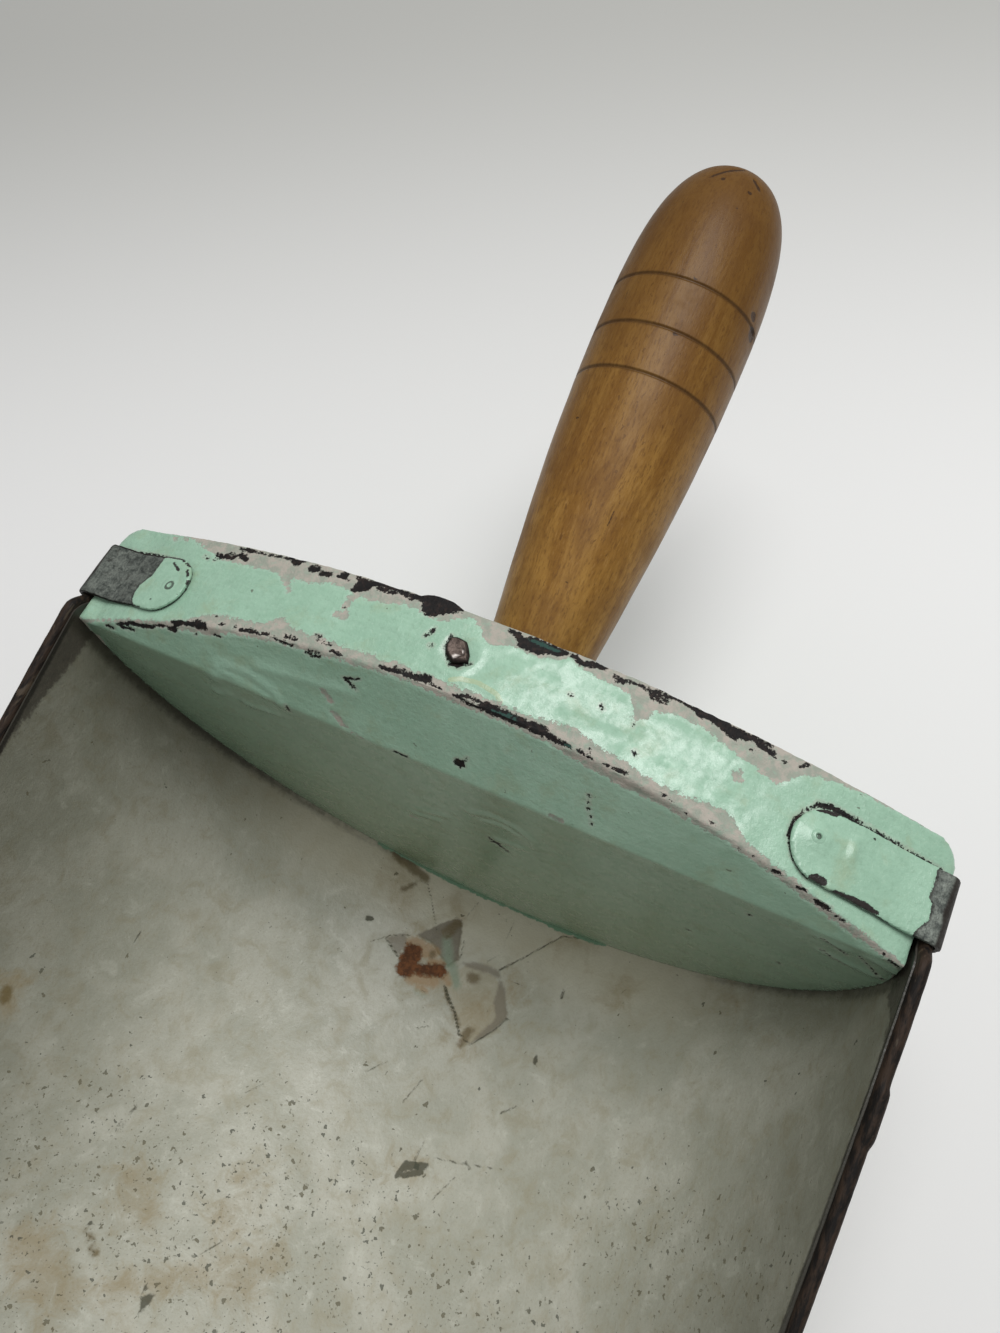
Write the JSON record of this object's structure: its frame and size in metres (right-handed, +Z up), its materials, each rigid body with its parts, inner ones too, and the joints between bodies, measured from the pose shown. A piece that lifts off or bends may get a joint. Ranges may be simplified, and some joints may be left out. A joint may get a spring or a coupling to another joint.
{
  "type": "dustpan",
  "caption": "Hand dustpan: half-round wooden back board, bent sheet-metal pan with rolled rims, a metal strap nailed over the joint and a turned wooden handle.",
  "frame": {"origin": "under the middle of the object: the middle of its width and of its length, at the height of its lowest point, the bottom of the back board", "axes": "+X to the right when the handle points away from the viewer; +Y from the pan's lip towards the handle's end; +Z up, out of the open pan"},
  "size_m": [0.1888, 0.3718, 0.1187],
  "materials": {
    "painted_board": "worn mint-green gloss paint over a grey primer, chipped to dark wood at its edges",
    "painted_sheet": "worn grey-white paint, stained and rusted where it has chipped; rims bare, brown and rusty",
    "rim_wire": "dull",
    "zinc_strap": "dull mottled zinc, partly painted green",
    "strap_nail": "dull, painted over at the top",
    "varnished_handle": "satin varnish, honey brown, with fine dark flecks",
    "dark_nail": "dark, worn"
  },
  "bodies": {
    "root": {"back_board": "painted_board", "pan_sheet": "painted_sheet", "rim_wire_right": "rim_wire", "rim_wire_left": "rim_wire", "back_strap": "zinc_strap", "strap_nail_left": "strap_nail", "strap_nail_right": "strap_nail", "strap_tacks": "strap_nail", "handle": "varnished_handle", "handle_nail": "dark_nail"}
  },
  "joints": []
}
